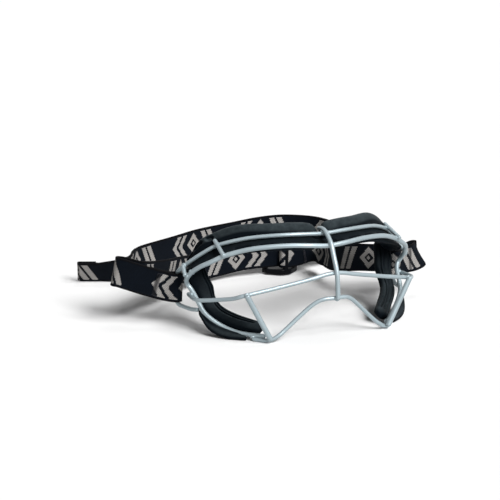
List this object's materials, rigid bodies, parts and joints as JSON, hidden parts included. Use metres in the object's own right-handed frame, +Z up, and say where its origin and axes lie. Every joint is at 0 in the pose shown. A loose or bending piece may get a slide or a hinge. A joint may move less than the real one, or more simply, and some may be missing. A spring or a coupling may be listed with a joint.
{
  "type": "lacrosse goggles",
  "caption": "Wire-mask eye guard with black moulded face pads and a two-piece elastic head strap joined by a sliding buckle, laid flat on its rim.",
  "frame": {"origin": "middle of the overall box, on the floor that the mask's rims and the strap lie on", "axes": "+Z up; -Y the way the mask faces; +X towards the wearer's left"},
  "size_m": [0.2476, 0.2679, 0.0741],
  "materials": {
    "wire": "satin powder coat",
    "pad": "smooth matt rubber",
    "webbing": "woven elastic",
    "thread": "bar-tacked thread",
    "slider": "moulded nylon"
  },
  "bodies": {
    "cage": {"upper_brow_wire": "wire", "right_strap_loop": "wire", "left_strap_loop": "wire", "lower_brow_wire": "wire", "right_side_wire": "wire", "left_side_wire": "wire", "eye_bar": "wire", "nose_wire": "wire", "centre_bar": "wire", "right_strut": "wire", "left_strut": "wire", "right_brow_spacer": "wire", "left_brow_spacer": "wire", "right_temple_spacer": "wire", "left_temple_spacer": "wire", "brow_pad": "pad", "right_cheek_pad": "pad", "left_cheek_pad": "pad", "right_cheek_bumper": "pad", "left_cheek_bumper": "pad", "front_strap": "webbing", "rear_strap": "webbing", "far_strap": "webbing", "short_strap": "webbing", "front_strap_tack": "thread", "short_strap_tack": "thread"},
    "slider": {"slider_frame": "slider", "slider_loop": "webbing", "slider_loop_tack": "thread"},
    "tail": {"strap_tail": "webbing", "tail_hem": "webbing"}
  },
  "joints": [
    {"name": "slider_slide", "type": "slide", "parent": "cage", "child": "slider", "axis": [-1, 0, 0], "range_m": [0, 0.012]},
    {"name": "tail_swing", "type": "hinge", "parent": "cage", "child": "tail", "pos_m": [-0.05475, 0.07348, 0.0102], "axis": [0, 0, 1], "range_deg": [-20, 20]}
  ]
}
